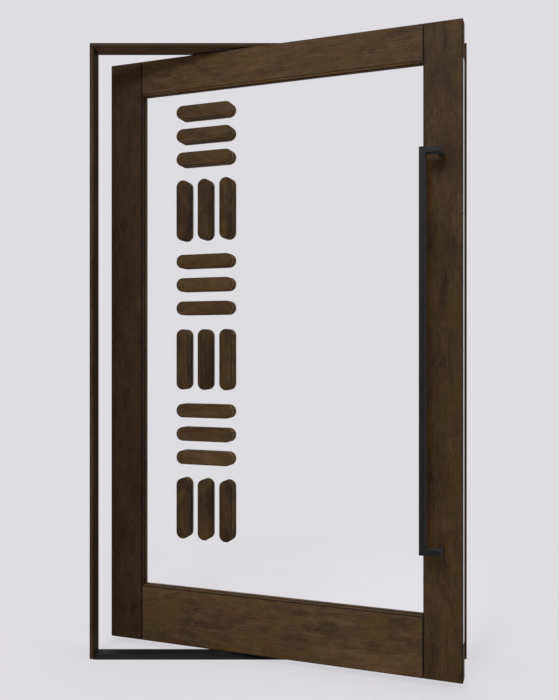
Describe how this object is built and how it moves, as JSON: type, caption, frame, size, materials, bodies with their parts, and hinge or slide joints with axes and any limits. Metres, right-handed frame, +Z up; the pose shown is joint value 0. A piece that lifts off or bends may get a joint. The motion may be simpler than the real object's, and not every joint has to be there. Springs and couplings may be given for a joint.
{
  "type": "pivot entry door",
  "caption": "Glazed wood pivot door standing ajar in a slim frame, with round-ended wood overlay bars on the glass and long offset pulls; the leaf turns on floor and head pivots.",
  "frame": {"origin": "on the underside of the threshold, midway across the frame and midway through its depth", "axes": "+Z up, +X across the frame towards the lock side, -Y towards the side the lock edge swings to"},
  "size_m": [1.257, 0.4914, 2.054],
  "materials": {
    "frame_wood": "dark stained, satin",
    "stile_wood": "dark stained, satin",
    "rail_wood": "dark stained, satin",
    "overlay_wood": "dark stained, satin",
    "glass": "clear, polished",
    "black_steel": "satin black",
    "satin_steel": "satin brushed",
    "seal_rubber": "matt",
    "dark_sill": "dark anodised, satin"
  },
  "bodies": {
    "frame": {"jamb_pivot_side": "frame_wood", "jamb_lock_side": "frame_wood", "head_jamb": "frame_wood", "threshold": "dark_sill", "floor_pivot": "black_steel", "head_pivot": "black_steel"},
    "leaf": {"pivot_stile": "stile_wood", "lock_stile": "stile_wood", "top_rail": "rail_wood", "bottom_rail": "rail_wood", "glass_pane": "glass", "lock_faceplate": "satin_steel", "leaf_pivot_shoe": "black_steel", "leaf_pivot_socket": "black_steel", "seal_top": "seal_rubber", "seal_bottom": "seal_rubber", "seal_pivot_edge": "seal_rubber", "front_pull": "black_steel", "front_pull_post_upper": "black_steel", "front_pull_post_lower": "black_steel", "rear_pull": "black_steel", "rear_pull_post_upper": "black_steel", "rear_pull_post_lower": "black_steel", "front_bar_1_1": "overlay_wood", "front_bar_1_2": "overlay_wood", "front_bar_1_3": "overlay_wood", "front_bar_2_1": "overlay_wood", "front_bar_2_2": "overlay_wood", "front_bar_2_3": "overlay_wood", "front_bar_3_1": "overlay_wood", "front_bar_3_2": "overlay_wood", "front_bar_3_3": "overlay_wood", "front_bar_4_1": "overlay_wood", "front_bar_4_2": "overlay_wood", "front_bar_4_3": "overlay_wood", "front_bar_5_1": "overlay_wood", "front_bar_5_2": "overlay_wood", "front_bar_5_3": "overlay_wood", "front_bar_6_1": "overlay_wood", "front_bar_6_2": "overlay_wood", "front_bar_6_3": "overlay_wood", "rear_bar_1_1": "overlay_wood", "rear_bar_1_2": "overlay_wood", "rear_bar_1_3": "overlay_wood", "rear_bar_2_1": "overlay_wood", "rear_bar_2_2": "overlay_wood", "rear_bar_2_3": "overlay_wood", "rear_bar_3_1": "overlay_wood", "rear_bar_3_2": "overlay_wood", "rear_bar_3_3": "overlay_wood", "rear_bar_4_1": "overlay_wood", "rear_bar_4_2": "overlay_wood", "rear_bar_4_3": "overlay_wood", "rear_bar_5_1": "overlay_wood", "rear_bar_5_2": "overlay_wood", "rear_bar_5_3": "overlay_wood", "rear_bar_6_1": "overlay_wood", "rear_bar_6_2": "overlay_wood", "rear_bar_6_3": "overlay_wood"}
  },
  "joints": [
    {"name": "leaf_pivot", "type": "hinge", "parent": "frame", "child": "leaf", "pos_m": [-0.1445, -0.0085, 0.02], "axis": [0, 0, -1], "range_deg": [-19.4, 70.6]}
  ]
}
